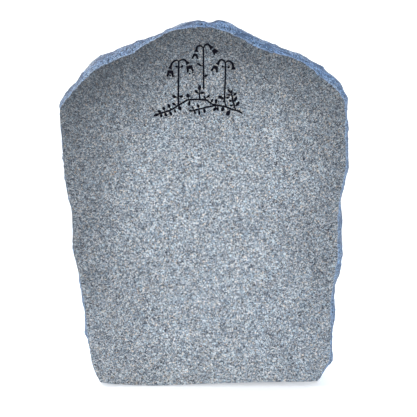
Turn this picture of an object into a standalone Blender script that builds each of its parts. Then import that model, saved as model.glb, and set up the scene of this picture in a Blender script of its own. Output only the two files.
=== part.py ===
"""A grave marker: one slab of grey granite with a dressed face and a carved sprig of twinflowers.

The slab stands on a sawn underside. Its front is one flat dressed plane, bounded by a crisp arris.
From that arris the edges are pitched: they swell outwards and are scooped where the stone was
struck. The back is left as it split. The sprig is sunk into the face with upright walls.

Axes: +Z is up, +X is to the right of someone who faces the dressed side, which looks towards -Y.
The origin is on the ground, at the middle of the slab's width and thickness. Units are metres.
"""

import math

import bmesh
import bpy
import numpy as np
from mathutils import Vector
from mathutils.geometry import delaunay_2d_cdt

# The slab: its whole size, and how far its pitched edges swell past the arris at most.
HEIGHT = 0.800
WIDTH = 0.630
THICKNESS = 0.130
PITCH_SWELL = 0.020

# The scoops that the pitching chisel left: their spacing and depth, and as shares how wide and how
# uneven they are, how much of the depth the ridges stand proud, and where behind the face the full
# depth is reached. The seed and the mixers pick which pattern of scoops it is.
SCOOP_LENGTH = 0.062
SCOOP_DEPTH = 0.0095
SCOOP_REACH = 0.75
SCOOP_UNEVENNESS = 0.45
RIDGE_SHARE = 0.25
SCOOP_START = 0.15
SCOOP_SEED = 11
SCOOP_MIXERS = (12.9898, 78.233, 37.719)
SCOOP_SPREAD = 43758.5453
KIND_STEP = 5.37

# The split back: the depth and spacing of its wide scoops, and the share of that depth by which
# its highest ridges are cut to flats.
SPLIT_DEPTH = 0.014
SPLIT_LENGTH = 0.160
SPLIT_FLATS = 0.22

# The carved sprig: its size, its left end and its foot on the face, its depth, and the widths of its
# strokes. An arm thickens from the pedicel's width at the fork to the calyx's own.
SPRIG_WIDTH = 0.189
SPRIG_HEIGHT = 0.153
SPRIG_LEFT = -0.1095
SPRIG_FOOT = 0.594
CARVING_DEPTH = 0.0024
STEM_WIDTH = 0.0030
TWIG_WIDTH = 0.0032
STALK_WIDTH = 0.0015
PEDICEL_WIDTH = 0.0024
CALYX_WIDTH = 0.0040
HUNDREDTH = SPRIG_WIDTH / 100

# How finely the slab is faceted: points round the arris, rings from the face to the back as shares
# of the thickness, the back's facets, and the steps of curves. Points closer than a hairline join.
COLUMNS = 160
RING_SHARES = (0.0, 0.06, 0.15, 0.27, 0.41, 0.56, 0.72, 0.87, 1.0)
SPLIT_FACET = 0.028
SPAN_STEPS = 8
LEAF_SIDES = 10
ARCH_STEPS = 7
MERGE = 0.00001
HAIRLINE = 0.00008

# The underside is sawn flat below this share of the height, from this ring on.
SAWN_BELOW = 0.022
SAWN_FROM_RING = 3

# The arris of the dressed face, walked from the left foot up, over the top and down the right side.
# Each row is a share of the width from the middle line, a share of the height, and how far the
# pitched edge swells there as a share of the full swell.
ARRIS = (
    (-0.353, 0.009, 0.15),
    (-0.376, 0.022, 0.38),
    (-0.394, 0.055, 0.44),
    (-0.404, 0.095, 0.24),
    (-0.413, 0.155, 0.40),
    (-0.416, 0.205, 0.35),
    (-0.426, 0.260, 0.47),
    (-0.441, 0.325, 0.16),
    (-0.456, 0.384, 0.14),
    (-0.458, 0.440, 0.13),
    (-0.459, 0.490, 0.20),
    (-0.474, 0.548, 0.15),
    (-0.481, 0.600, 0.15),
    (-0.487, 0.690, 0.17),
    (-0.492, 0.752, 0.06),
    (-0.484, 0.777, 0.42),
    (-0.458, 0.802, 0.62),
    (-0.425, 0.831, 0.62),
    (-0.391, 0.856, 0.98),
    (-0.352, 0.878, 1.21),
    (-0.291, 0.899, 1.08),
    (-0.248, 0.911, 1.01),
    (-0.211, 0.930, 0.84),
    (-0.161, 0.952, 0.72),
    (-0.119, 0.969, 0.62),
    (-0.067, 0.977, 0.83),
    (-0.019, 0.981, 0.75),
    (0.016, 0.980, 0.55),
    (0.045, 0.974, 1.09),
    (0.090, 0.963, 1.08),
    (0.137, 0.944, 1.09),
    (0.180, 0.926, 0.99),
    (0.231, 0.913, 0.98),
    (0.292, 0.901, 0.74),
    (0.343, 0.881, 0.89),
    (0.396, 0.847, 1.18),
    (0.438, 0.820, 1.35),
    (0.467, 0.792, 0.72),
    (0.474, 0.755, 0.60),
    (0.476, 0.690, 0.72),
    (0.478, 0.610, 0.59),
    (0.467, 0.555, 0.63),
    (0.457, 0.495, 0.56),
    (0.458, 0.425, 0.76),
    (0.458, 0.370, 0.91),
    (0.447, 0.305, 0.82),
    (0.436, 0.240, 0.86),
    (0.438, 0.165, 0.71),
    (0.436, 0.082, 0.84),
    (0.420, 0.054, 0.69),
    (0.399, 0.021, 0.50),
    (0.365, 0.014, 0.25),
    (0.174, 0.011, 0.25),
    (0.004, 0.007, 0.25),
    (-0.187, 0.002, 0.20),
)

# How the edge swells from the arris, at 0, to the back's own edge, at 1.
SWELL_CURVE = (
    (0.0, 0.0), (0.06, 0.40), (0.15, 0.74), (0.27, 0.94), (0.40, 1.0), (0.62, 0.86), (0.85, 0.42), (1.0, 0.0),
)

# The sprig is drawn in hundredths of its own width, from the left, and of its own height, from below.
BRANCH = (
    (1, 3), (8, 6), (15, 8.6), (20.5, 11.4), (27, 16.2), (33.3, 21), (38.5, 24.3), (45, 24.8), (52, 24.6),
    (59.5, 23.7), (65, 18.8), (71.7, 16.7), (78, 15.4), (83, 13.8), (89, 10.6), (94, 9.2), (99.6, 5.5),
)
LOWER_TWIG = ((70, 16.8), (64, 15.3), (59, 14.2), (54, 12.5), (49, 11), (43.6, 9.4))
LEFT_STEM = ((27.6, 16.5), (27.6, 30), (27.9, 58), (28.2, 75.6))
MIDDLE_STEM = ((56.1, 38.6), (56, 55), (55.8, 78), (55.7, 94.4))
MIDDLE_FOOT = ((58.2, 24), (57.3, 27), (56.7, 29.6))
RIGHT_STEM = ((81.6, 14.3), (79.5, 22), (79.5, 30), (80, 45), (80.4, 62), (80.5, 74.2))
SHORT_TWIG = ((51.6, 24.6), (51.2, 33.2))
RIGHT_TWIG = ((91.8, 9.8), (90.2, 17.5), (89, 21.5), (88.2, 28), (87, 32.5))
STEMS = (BRANCH, LOWER_TWIG, LEFT_STEM, MIDDLE_STEM, MIDDLE_FOOT, RIGHT_STEM, SHORT_TWIG, RIGHT_TWIG)

# Each leaf: its middle across and up, its length and breadth, which like all lengths below are
# in hundredths of the sprig's width, and its lean from the level in degrees.
LEAVES = (
    (2.8, 3.6, 6.5, 3.1, 20),
    (5.9, 8.5, 3.5, 2.7, -15),
    (11.1, 12.4, 3.9, 3.4, -60),
    (16.9, 16, 4.7, 3.2, -60),
    (22.6, 18.4, 4.5, 2.7, -30),
    (8.2, 2.2, 3.6, 2.8, 85),
    (13.4, 3.7, 4.3, 2.9, -60),
    (19, 5.5, 4.7, 2.7, -58),
    (23.7, 8.5, 3.5, 2.2, -65),
    (29.1, 12.7, 5.1, 3.7, -60),
    (22.9, 28.8, 4.8, 3.1, -25),
    (31.1, 29, 3.9, 2.8, 15),
    (38.3, 29.9, 4.8, 3.8, -65),
    (39.8, 19.6, 5.6, 2.8, 84),
    (43.7, 13.5, 3.5, 2.0, -60),
    (49.7, 15.6, 4.1, 2.4, -58),
    (41.7, 9.3, 4.1, 2.2, -8),
    (46.1, 7, 3.3, 2.1, -70),
    (51.1, 6.2, 4.8, 2.7, 90),
    (56.9, 9.1, 5.2, 2.8, 97),
    (47.7, 35.5, 5.1, 2.7, -45),
    (51.4, 41, 5.8, 3.5, 80),
    (54.5, 33.8, 5.5, 2.6, 5),
    (61.4, 29.2, 4.5, 2.4, 45),
    (65.4, 23.3, 4.3, 2.2, 60),
    (69.9, 22.5, 5.5, 2.8, 90),
    (75.4, 27.8, 6.8, 3.0, -27),
    (83, 27.3, 3.2, 2.5, 10),
    (78.7, 22.3, 2.6, 2.0, 20),
    (68.5, 11.4, 4.8, 3.0, 50),
    (71.7, 11.6, 3.9, 2.4, -78),
    (77.4, 11.4, 5.2, 3.6, 70),
    (83.5, 5.9, 6.6, 4.3, 57),
    (84.4, 36.8, 4.3, 2.2, -52),
    (84.6, 31.2, 3.7, 1.8, -20),
    (87.3, 35.4, 4.4, 1.9, 75),
    (91.4, 32.2, 4.5, 2.4, 42),
    (91.7, 25.2, 6.4, 3.0, 65),
    (85.8, 22.9, 2.8, 2.5, 0),
    (94.2, 19, 6.1, 3.0, 55),
    (86.9, 16.4, 3.2, 2.0, -12),
    (25.8, 69.9, 3.5, 2.0, -5),
    (31.8, 70.1, 3.7, 2.5, 35),
    (51.1, 72.7, 5.8, 2.2, -30),
    (58.7, 57.4, 4.7, 2.4, 28),
    (77.3, 70.1, 2.6, 2.4, -50),
    (83.9, 68.9, 2.5, 2.2, -40),
)

# The grains that hang loose in the bells' mouths, as leaves without a stalk.
STAMENS = (
    (18.4, 57.8, 2.6, 1.8, 90),
    (40.1, 60.4, 2.0, 1.6, 90),
    (43.8, 61.6, 1.8, 1.5, 60),
)

# Each nodding arm: the fork and the calyx's end across and up, how far the arm rises, the calyx's
# lean from straight down in degrees, its length and its end's breadth.
ARMS = (
    (28.2, 75.6, 18.4, 66.9, 4.2, -18, 5.2, 4.8),
    (28.2, 75.6, 38.6, 73.4, 2.4, 38, 5.2, 5.0),
    (55.7, 94.4, 47.9, 89.9, 3.3, -6, 4.6, 5.3),
    (55.7, 94.4, 65.4, 94.6, 3.2, 42, 5.2, 5.4),
    (80.5, 74.2, 71.2, 72.6, 3.0, -32, 5.0, 4.9),
    (80.5, 74.2, 89.4, 65.7, 4.4, 8, 5.6, 5.4),
)

# Each bell: its neck across and up, its lean from straight down in degrees, its length, the
# breadths of neck and mouth, and how deep the lobes are cut as a share of its length.
BELLS = (
    (18.8, 64.7, -2, 7.4, 6.2, 8.8, 0.52),
    (39.6, 71.0, 14, 7.2, 6.6, 8.2, 0.52),
    (46.6, 87.3, -2, 5.6, 4.6, 8.0, 0.55),
    (66.8, 93.2, 40, 5.8, 4.4, 7.2, 0.20),
    (69.6, 70.9, -16, 6.9, 5.2, 9.2, 0.50),
)

GRANITE = (0.33, 0.36, 0.40, 1.0)


def clear_scene():
    """Removes whatever the scene holds."""
    for old in list(bpy.data.objects):
        bpy.data.objects.remove(old)


def make_collection(name):
    """Returns a new collection, linked to the scene."""
    made = bpy.data.collections.new(name)
    bpy.context.scene.collection.children.link(made)
    return made


def make_granite():
    """Returns the slab's material: matt grey granite."""
    material = bpy.data.materials.new("granite")
    material.use_nodes = True
    shader = material.node_tree.nodes["Principled BSDF"]
    shader.inputs["Base Color"].default_value = GRANITE
    shader.inputs["Roughness"].default_value = 0.85
    shader.inputs["Metallic"].default_value = 0.0
    return material


def through_points(points, steps, closed=False):
    """Returns a smooth path through the points, as Catmull-Rom spans of equal steps."""
    given = np.array(points, dtype=float)
    count = len(given)
    spans = count if closed else count - 1
    path = []
    for span in range(spans):
        picks = [span - 1, span, span + 1, span + 2]
        if closed:
            p0, p1, p2, p3 = given[[pick % count for pick in picks]]
        else:
            p0, p1, p2, p3 = given[[min(max(pick, 0), count - 1) for pick in picks]]
        for step in range(steps):
            t = step / steps
            path.append(0.5 * (2 * p1 + (p2 - p0) * t + (2 * p0 - 5 * p1 + 4 * p2 - p3) * t ** 2
                               + (3 * p1 - p0 - 3 * p2 + p3) * t ** 3))
    if not closed:
        path.append(given[-1])
    return np.array(path)


def evenly_spaced(path, count):
    """Returns a closed path's points at equal distances along its first two values."""
    ring = np.vstack([path, path[:1]])
    lengths = np.hypot(*np.diff(ring[:, :2], axis=0).T)
    along = np.concatenate([[0.0], np.cumsum(lengths)])
    marks = np.linspace(0.0, along[-1], count, endpoint=False)
    return np.stack([np.interp(marks, along, column) for column in ring.T], axis=1)


def arris_loop():
    """Returns the arris as places on the face, the outward direction at each and the swell there."""
    rows = np.array(ARRIS) * (WIDTH, HEIGHT, PITCH_SWELL)
    loop = evenly_spaced(through_points(rows, SPAN_STEPS, closed=True), COLUMNS)
    loop[:, 2] = np.maximum(loop[:, 2], 0.0)
    ahead = np.roll(loop, -1, axis=0) - np.roll(loop, 1, axis=0)
    outward = np.stack([-ahead[:, 1], ahead[:, 0]], axis=1)
    outward /= np.linalg.norm(outward, axis=1)[:, None]
    return loop[:, :2], outward, loop[:, 2]


def chance(cells, kind):
    """Returns a number from 0 to 1 for each cell of a grid, always the same for the same cell."""
    mixed = cells @ np.array(SCOOP_MIXERS) + SCOOP_SEED + KIND_STEP * kind
    return np.modf(np.abs(np.sin(mixed) * SCOOP_SPREAD))[0]


def scoops(points, length):
    """Returns how deep each point lies, from 0 to 1, in a field of scoops that meet in sharp ridges.

    Every scoop is a dish about its own middle. Where two dishes meet, the deeper one wins, so
    their borders stand proud as ridges do between the flakes struck off a stone.
    """
    place = points / length
    home = np.floor(place)
    dish = np.full(len(points), SCOOP_REACH)
    for step in np.ndindex(3, 3, 3):
        cell = home + step - 1
        middle = cell + 0.1 + 0.8 * np.stack([chance(cell, kind) for kind in range(3)], axis=1)
        away = ((place - middle) ** 2).sum(axis=1)
        dish = np.minimum(dish, away + SCOOP_UNEVENNESS * chance(cell, 3))
    return 1.0 - dish / SCOOP_REACH


def edge_rings():
    """Returns the rings of points from the arris round to the back's edge, as rings by columns by 3.

    A point stands off the arris along its outward direction by the swell at its place, less the
    depth of the scoop that it lies in. Nothing reaches below the ground.
    """
    place, outward, swell = arris_loop()
    share_at, swell_at = np.array(SWELL_CURVE).T
    rings = []
    for share in RING_SHARES:
        plain = place + outward * (swell * np.interp(share, share_at, swell_at))[:, None]
        y = np.full(len(plain), (share - 0.5) * THICKNESS)
        points = np.stack([plain[:, 0], y, plain[:, 1]], axis=1)
        full = SCOOP_DEPTH * min(1.0, share / SCOOP_START)
        sunk = full * (scoops(points, SCOOP_LENGTH) - RIDGE_SHARE)
        points[:, [0, 2]] -= outward * sunk[:, None]
        points[:, 2] = np.maximum(points[:, 2], 0.0)
        rings.append(points)
    rings = np.array(rings)
    underside = place[:, 1] < SAWN_BELOW * HEIGHT
    rings[SAWN_FROM_RING:, underside, 2] = 0.0
    return fit_to_size(rings)


def fit_to_size(rings):
    """Stretches the rings a little to the slab's width and height, and ends them at the split back."""
    low = rings.min(axis=(0, 1))
    high = rings.max(axis=(0, 1))
    rings[:, :, 0] = ((rings[:, :, 0] - low[0]) / (high[0] - low[0]) - 0.5) * WIDTH
    rings[:, :, 2] *= HEIGHT / high[2]
    reach = split_sheet(rings[-1, :, 0], rings[-1, :, 2]) + 0.5 * THICKNESS
    rings[:, :, 1] = np.outer(RING_SHARES, reach) - 0.5 * THICKNESS
    return rings


def split_sheet(across, up):
    """Returns how far back the split surface lies at each place, at most the slab's back plane.

    It is a sheet that dips into the slab in wide scoops. Its highest ridges are cut to small flats.
    """
    plane = np.stack([across, np.full(len(across), 0.5 * THICKNESS), up], axis=1)
    dip = SPLIT_DEPTH * (scoops(plane, SPLIT_LENGTH) - SPLIT_FLATS)
    return 0.5 * THICKNESS - np.maximum(dip, 0.0)


def joined_triangles(outlines, inner_points):
    """Returns the flat points and triangles that fill the outlines, with overlaps joined as one."""
    points = [Vector(point) for outline in outlines for point in outline]
    firsts = np.cumsum([0] + [len(outline) for outline in outlines])
    loops = [list(range(first, first + len(outline))) for first, outline in zip(firsts, outlines)]
    points += [Vector(point) for point in inner_points]
    filled = delaunay_2d_cdt(points, [], loops, 0, HAIRLINE)
    triangles = [tri for tri, owners in zip(filled[2], filled[5]) if owners]
    return np.array([tuple(point) for point in filled[0]]), triangles


def back_points(edge):
    """Returns a staggered grid of places inside the back's edge, well clear of it."""
    step = SPLIT_FACET
    rows = np.arange(step, HEIGHT, step * math.sqrt(0.75))
    columns = np.arange(-0.5 * WIDTH, 0.5 * WIDTH, step)
    grid = [(x + 0.5 * step * (row % 2), z) for row, z in enumerate(rows) for x in columns]
    angle = [sum_of_angles(point, edge) for point in grid]
    clear = [np.hypot(*(edge - point).T).min() > 0.7 * step for point in grid]
    return [point for point, turn, free in zip(grid, angle, clear) if abs(turn) > math.pi and free]


def sum_of_angles(point, loop):
    """Returns the angle that a closed loop sweeps about a point, zero where the point is outside."""
    arms = loop - point
    following = np.roll(arms, -1, axis=0)
    cross = arms[:, 0] * following[:, 1] - arms[:, 1] * following[:, 0]
    return np.arctan2(cross, (arms * following).sum(axis=1)).sum()


def slab_mesh():
    """Returns the slab's mesh: the flat face, the lofted edge and the split back."""
    rings = edge_rings()
    bm = bmesh.new()
    loft = [[bm.verts.new(point) for point in ring] for ring in rings]
    bm.faces.new(loft[0])
    for near, far in zip(loft, loft[1:]):
        for column in range(COLUMNS):
            after = (column + 1) % COLUMNS
            bm.faces.new((near[column], far[column], far[after], near[after]))
    edge = rings[-1][:, [0, 2]]
    flat, triangles = joined_triangles([edge[::-1]], back_points(edge))
    sheet = [bm.verts.new((x, y, z)) for (x, z), y in zip(flat, split_sheet(*flat.T))]
    for triangle in triangles:
        bm.faces.new([sheet[corner] for corner in triangle])
    bmesh.ops.remove_doubles(bm, verts=bm.verts, dist=MERGE)
    bmesh.ops.recalc_face_normals(bm, faces=bm.faces)
    mesh = bpy.data.meshes.new("headstone")
    bm.to_mesh(mesh)
    bm.free()
    return mesh


def on_face(across, up):
    """Returns a place on the face, across and up in metres, from hundredths of the sprig."""
    return np.array([SPRIG_LEFT + across * HUNDREDTH, SPRIG_FOOT + up / 100 * SPRIG_HEIGHT])


def along(path, widths):
    """Returns the outline of a mark drawn along a path, with its own width at each point."""
    ahead = np.gradient(path, axis=0)
    ahead /= np.linalg.norm(ahead, axis=1)[:, None]
    side = np.stack([-ahead[:, 1], ahead[:, 0]], axis=1) * np.asarray(widths)[:, None] / 2
    return np.vstack([path + side, (path - side)[::-1]])


def stroke(points, steps, width):
    """Returns the outline of a stem of one width through points given in hundredths of the sprig."""
    path = through_points([on_face(*point) for point in points], steps)
    return along(path, np.full(len(path), width))


def turned(shape, degrees, place):
    """Returns an outline turned anticlockwise about its zero point and moved to a place."""
    angle = math.radians(degrees)
    spin = np.array([[math.cos(angle), math.sin(angle)], [-math.sin(angle), math.cos(angle)]])
    return np.asarray(shape) @ spin + place


def leaf(across, up, length, breadth, lean):
    """Returns a leaf's outline: two bowed sides that meet in a blunt foot and a blunt tip."""
    angles = np.linspace(0.0, 2 * math.pi, LEAF_SIDES, endpoint=False)
    bow = np.sign(np.sin(angles)) * np.abs(np.sin(angles)) ** 1.1
    shape = np.stack([np.cos(angles) * length, bow * breadth], axis=1) * (0.5 * HUNDREDTH)
    return turned(shape, lean, on_face(across, up))


def nearest_on(stem, place):
    """Returns the point of a stem's path that lies nearest to a place, and how far away it is."""
    path = np.array([on_face(*point) for point in stem])
    spans = np.diff(path, axis=0)
    share = ((place - path[:-1]) * spans).sum(axis=1) / (spans ** 2).sum(axis=1)
    points = path[:-1] + np.clip(share, 0.0, 1.0)[:, None] * spans
    away = np.hypot(*(points - place).T)
    return points[away.argmin()], away.min()


def stalk(across, up, length, breadth, lean):
    """Returns the outline of a leaf's stalk, from inside the leaf's nearer end to the nearest stem."""
    middle = on_face(across, up)
    half = 0.5 * length * HUNDREDTH * np.array([math.cos(math.radians(lean)), math.sin(math.radians(lean))])
    found = [(*nearest_on(stem, middle + way * half), way) for stem in STEMS for way in (-1, 1)]
    point, _, way = min(found, key=lambda row: row[1])
    return along(np.array([middle + 0.5 * way * half, point]), [STALK_WIDTH, STALK_WIDTH])


def facing(outline):
    """Returns an outline walked anticlockwise."""
    following = np.roll(outline, -1, axis=0)
    area = (outline[:, 0] * following[:, 1] - outline[:, 1] * following[:, 0]).sum()
    return outline if area > 0 else outline[::-1]


def nodding_arm(fork_across, fork_up, end_across, end_up, rise, lean, length, breadth):
    """Returns one arm's outline, which rises from the fork, nods over, thickens and ends in a calyx."""
    fork = on_face(fork_across, fork_up)
    end = on_face(end_across, end_up)
    hang = np.array([math.sin(math.radians(lean)), -math.cos(math.radians(lean))])
    neck = end - hang * length * HUNDREDTH
    rise = rise * HUNDREDTH
    away = math.copysign(PEDICEL_WIDTH, end[0] - fork[0])
    over_fork = fork + (0.5 * away, rise)
    over_neck = neck - hang * rise - (0.5 * away, 0.0)
    t = np.linspace(0.0, 1.0, ARCH_STEPS)[:, None]
    leaving = (1 - t) ** 3 * fork + 3 * (1 - t) ** 2 * t * over_fork
    arriving = 3 * (1 - t) * t ** 2 * over_neck + t ** 3 * neck
    path = np.vstack([leaving + arriving, 0.5 * (neck + end), end])
    thickening = np.linspace(PEDICEL_WIDTH, CALYX_WIDTH, ARCH_STEPS)
    flare = [0.5 * CALYX_WIDTH + 0.3 * breadth * HUNDREDTH, breadth * HUNDREDTH]
    return along(path, np.concatenate([thickening, flare]))


def bell(across, up, lean, length, neck, mouth, notch):
    """Returns a bell flower's outline: a narrow neck that flares to a mouth of two or three lobes.

    A deep notch leaves two thick lobes with an arch between. A shallow one leaves three lobes.
    """
    cut = -(1 - notch) * length
    waist = 0.5 * (neck + (mouth - neck) / 3)
    right = [(0.5 * neck, 0.0), (waist, -0.5 * length), (0.5 * mouth, -0.92 * length)]
    if notch < 0.5:
        right.append((0.34 * mouth, -length))
        middle = [(0.17 * mouth, cut), (0.0, -length), (-0.17 * mouth, cut)]
    else:
        right.append((0.25 * mouth, -length))
        middle = [(0.12 * mouth, cut), (-0.12 * mouth, cut)]
    left = [(-x, y) for x, y in reversed(right)]
    return turned(np.array(right + middle + left) * HUNDREDTH, lean, on_face(across, up))


def sprig_outlines():
    """Returns every outline of the carved sprig, across and up in metres."""
    outlines = [stroke(BRANCH, 2, TWIG_WIDTH)]
    outlines += [stroke(stem, 2, STEM_WIDTH) for stem in STEMS[1:]]
    outlines += [leaf(*row) for row in LEAVES + STAMENS]
    outlines += [stalk(*row) for row in LEAVES]
    outlines += [nodding_arm(*row) for row in ARMS]
    outlines += [bell(*row) for row in BELLS]
    return outlines


def sprig_cutter(target):
    """Makes the sprig as a solid that stands through the face to the carving's depth."""
    outlines = [facing(outline) for outline in sprig_outlines()]
    flat, triangles = joined_triangles(outlines, [])
    bm = bmesh.new()
    floor = [bm.verts.new((x, CARVING_DEPTH - 0.5 * THICKNESS, z)) for x, z in flat]
    for triangle in triangles:
        bm.faces.new([floor[corner] for corner in triangle])
    raised = bmesh.ops.extrude_face_region(bm, geom=list(bm.faces), use_keep_orig=True)
    for made in raised["geom"]:
        if isinstance(made, bmesh.types.BMVert):
            made.co.y -= 2 * CARVING_DEPTH
    bmesh.ops.delete(bm, geom=[vert for vert in bm.verts if not vert.link_faces], context="VERTS")
    bmesh.ops.recalc_face_normals(bm, faces=bm.faces)
    mesh = bpy.data.meshes.new("sprig_cutter")
    bm.to_mesh(mesh)
    bm.free()
    cutter = bpy.data.objects.new("sprig_cutter", mesh)
    cutter.display_type = "WIRE"
    cutter.hide_render = True
    target.objects.link(cutter)
    return cutter


def build():
    """Builds the slab and sinks the sprig into its face."""
    clear_scene()
    marker = make_collection("grave_marker")
    cutters = make_collection("cutters")
    slab = bpy.data.objects.new("headstone", slab_mesh())
    slab.data.materials.append(make_granite())
    marker.objects.link(slab)
    carve = slab.modifiers.new("carve_sprig", "BOOLEAN")
    carve.operation = "DIFFERENCE"
    carve.object = sprig_cutter(cutters)
    carve.solver = "EXACT"
    weld = slab.modifiers.new("close_hairlines", "WELD")
    weld.merge_threshold = 0.5 * HAIRLINE
    facet = slab.modifiers.new("facet", "TRIANGULATE")
    facet.ngon_method = "BEAUTY"
    return slab


build()
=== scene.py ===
"""The looks of a grave marker: one slab of grey granite with a painted, carved sprig of twinflowers.

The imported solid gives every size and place. The slab is made again as one closed mesh with the same
arris, swell and scoops, and with the finer breaks, chips and carved grooves that the solid leaves out.
Units are metres, +Z is up, and the dressed face looks towards -Y.
"""

import logging
import math
from dataclasses import dataclass
from enum import Enum

import bpy
import numpy as np
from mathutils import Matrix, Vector
from mathutils.geometry import delaunay_2d_cdt


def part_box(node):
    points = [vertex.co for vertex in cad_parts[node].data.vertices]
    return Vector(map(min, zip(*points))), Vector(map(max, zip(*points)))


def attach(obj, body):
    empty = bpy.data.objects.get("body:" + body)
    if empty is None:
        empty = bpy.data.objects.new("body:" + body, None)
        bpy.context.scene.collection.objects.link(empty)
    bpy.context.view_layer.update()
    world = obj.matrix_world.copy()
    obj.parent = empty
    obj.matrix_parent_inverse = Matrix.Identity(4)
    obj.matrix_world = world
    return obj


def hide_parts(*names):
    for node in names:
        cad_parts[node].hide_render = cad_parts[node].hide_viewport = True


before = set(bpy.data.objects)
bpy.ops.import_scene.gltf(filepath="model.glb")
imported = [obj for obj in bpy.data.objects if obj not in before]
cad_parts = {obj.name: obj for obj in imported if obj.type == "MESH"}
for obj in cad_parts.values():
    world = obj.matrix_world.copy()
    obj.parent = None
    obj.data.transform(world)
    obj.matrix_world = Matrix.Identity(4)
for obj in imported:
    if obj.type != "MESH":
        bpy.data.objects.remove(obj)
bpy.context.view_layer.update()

LOG = logging.getLogger("headstone")
NODE = "headstone"
Array = np.ndarray
Socket = bpy.types.NodeSocket
Span = tuple[float, float]
Colour = tuple[float, float, float]

# The arris of the dressed face, walked from the left foot up, over the top and down the right side.
# Each row is a share of the width from the middle line, a share of the height, and how far the
# pitched edge swells there as a share of the full swell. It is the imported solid's own arris.
ARRIS = (
    (-0.353, 0.009, 0.15), (-0.376, 0.022, 0.38), (-0.394, 0.055, 0.44), (-0.404, 0.095, 0.24),
    (-0.413, 0.155, 0.40), (-0.416, 0.205, 0.35), (-0.426, 0.260, 0.47), (-0.441, 0.325, 0.16),
    (-0.456, 0.384, 0.14), (-0.458, 0.440, 0.13), (-0.459, 0.490, 0.20), (-0.474, 0.548, 0.15),
    (-0.481, 0.600, 0.15), (-0.487, 0.690, 0.17), (-0.492, 0.752, 0.06), (-0.484, 0.777, 0.42),
    (-0.458, 0.802, 0.62), (-0.425, 0.831, 0.62), (-0.391, 0.856, 0.98), (-0.352, 0.878, 1.21),
    (-0.291, 0.899, 1.08), (-0.248, 0.911, 1.01), (-0.211, 0.930, 0.84), (-0.161, 0.952, 0.72),
    (-0.119, 0.969, 0.62), (-0.067, 0.977, 0.83), (-0.019, 0.981, 0.75), (0.016, 0.980, 0.55),
    (0.045, 0.974, 1.09), (0.090, 0.963, 1.08), (0.137, 0.944, 1.09), (0.180, 0.926, 0.99),
    (0.231, 0.913, 0.98), (0.292, 0.901, 0.74), (0.343, 0.881, 0.89), (0.396, 0.847, 1.18),
    (0.438, 0.820, 1.35), (0.467, 0.792, 0.72), (0.474, 0.755, 0.60), (0.476, 0.690, 0.72),
    (0.478, 0.610, 0.59), (0.467, 0.555, 0.63), (0.457, 0.495, 0.56), (0.458, 0.425, 0.76),
    (0.458, 0.370, 0.91), (0.447, 0.305, 0.82), (0.436, 0.240, 0.86), (0.438, 0.165, 0.71),
    (0.436, 0.082, 0.84), (0.420, 0.054, 0.69), (0.399, 0.021, 0.50), (0.365, 0.014, 0.25),
    (0.174, 0.011, 0.25), (0.004, 0.007, 0.25), (-0.187, 0.002, 0.20),
)

# How the edge swells from the arris, at 0, to the back's own edge, at 1.
SWELL_CURVE = (
    (0.0, 0.0), (0.06, 0.40), (0.15, 0.74), (0.27, 0.94),
    (0.40, 1.0), (0.62, 0.86), (0.85, 0.42), (1.0, 0.0),
)

# Places closer than this count as one place.
SAME_PLACE = 1e-5

# The triangulation welds points that lie closer than this.
WELD = 1e-7

# How many points are measured against the arris at a time.
BLOCK_ROWS = 8000


# What mixes a cell's steps and its kind into one number, and what spreads that number out.
MIXERS = (12.9898, 78.233, 37.719)
KIND_MIXER = 5.37
SPREAD = 43758.5453


class Finish(Enum):
    """The finishes of the stone, each with its own place among the mesh's materials."""

    DRESSED = 0
    PITCHED = 1
    PAINTED = 2


def hashed(cells: Array, kind: int, seed: float) -> Array:
    """Gives each cell of a grid its own number from 0 to 1.

    Formula: the fractional part of a large multiple of the sine of a mix of the cell's steps.

    Args:
        cells: Whole steps along each axis, one row a cell.
        kind: Which of several unrelated numbers to give.
        seed: Which pattern it is.

    Returns:
        One number a row.
    """
    mixed = cells @ np.array(MIXERS) + seed + KIND_MIXER * kind
    return np.modf(np.abs(np.sin(mixed) * SPREAD))[0]


@dataclass(frozen=True)
class Scoops:
    """A field of dishes that meet in sharp ridges, as struck stone shows.

    Attributes:
        spacing: How far apart the dishes lie.
        depth: How deep they are.
        proud: The share of the depth by which ridges stand proud of the plain surface.
        reach: How wide a dish is, as a share of the squared spacing.
        unevenness: How much the dishes differ in depth.
        stray: How much of its cell a dish's middle may stray over, as a share.
        seed: Which pattern it is.
    """

    spacing: float
    depth: float
    proud: float
    reach: float = 0.75
    unevenness: float = 0.45
    stray: float = 0.8
    seed: float = 11.0

    def shares(self, points: Array) -> Array:
        """Gives each point's depth as a share, from 0 on a ridge to 1 at a dish's middle.

        Formula: 1 less the least, over the cells round a point, of the squared distance to that
        cell's own middle plus its own lift, as a share of the reach.

        Args:
            points: Places in space.

        Returns:
            One share a point.
        """
        place = points / self.spacing
        home = np.floor(place)
        dish = np.full(len(points), self.reach)
        for step in np.ndindex(3, 3, 3):
            cell = home + step - 1
            stray = np.stack([hashed(cell, kind, self.seed) for kind in range(3)], axis=1)
            middle = cell + 0.5 + self.stray * (stray - 0.5)
            away = ((place - middle) ** 2).sum(axis=1)
            dish = np.minimum(dish, away + self.unevenness * hashed(cell, 3, self.seed))
        return 1.0 - dish / self.reach

    def sunk(self, points: Array) -> Array:
        """Gives how far each point is sunk: the depth times its share less the proud share."""
        return self.depth * (self.shares(points) - self.proud)


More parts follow.
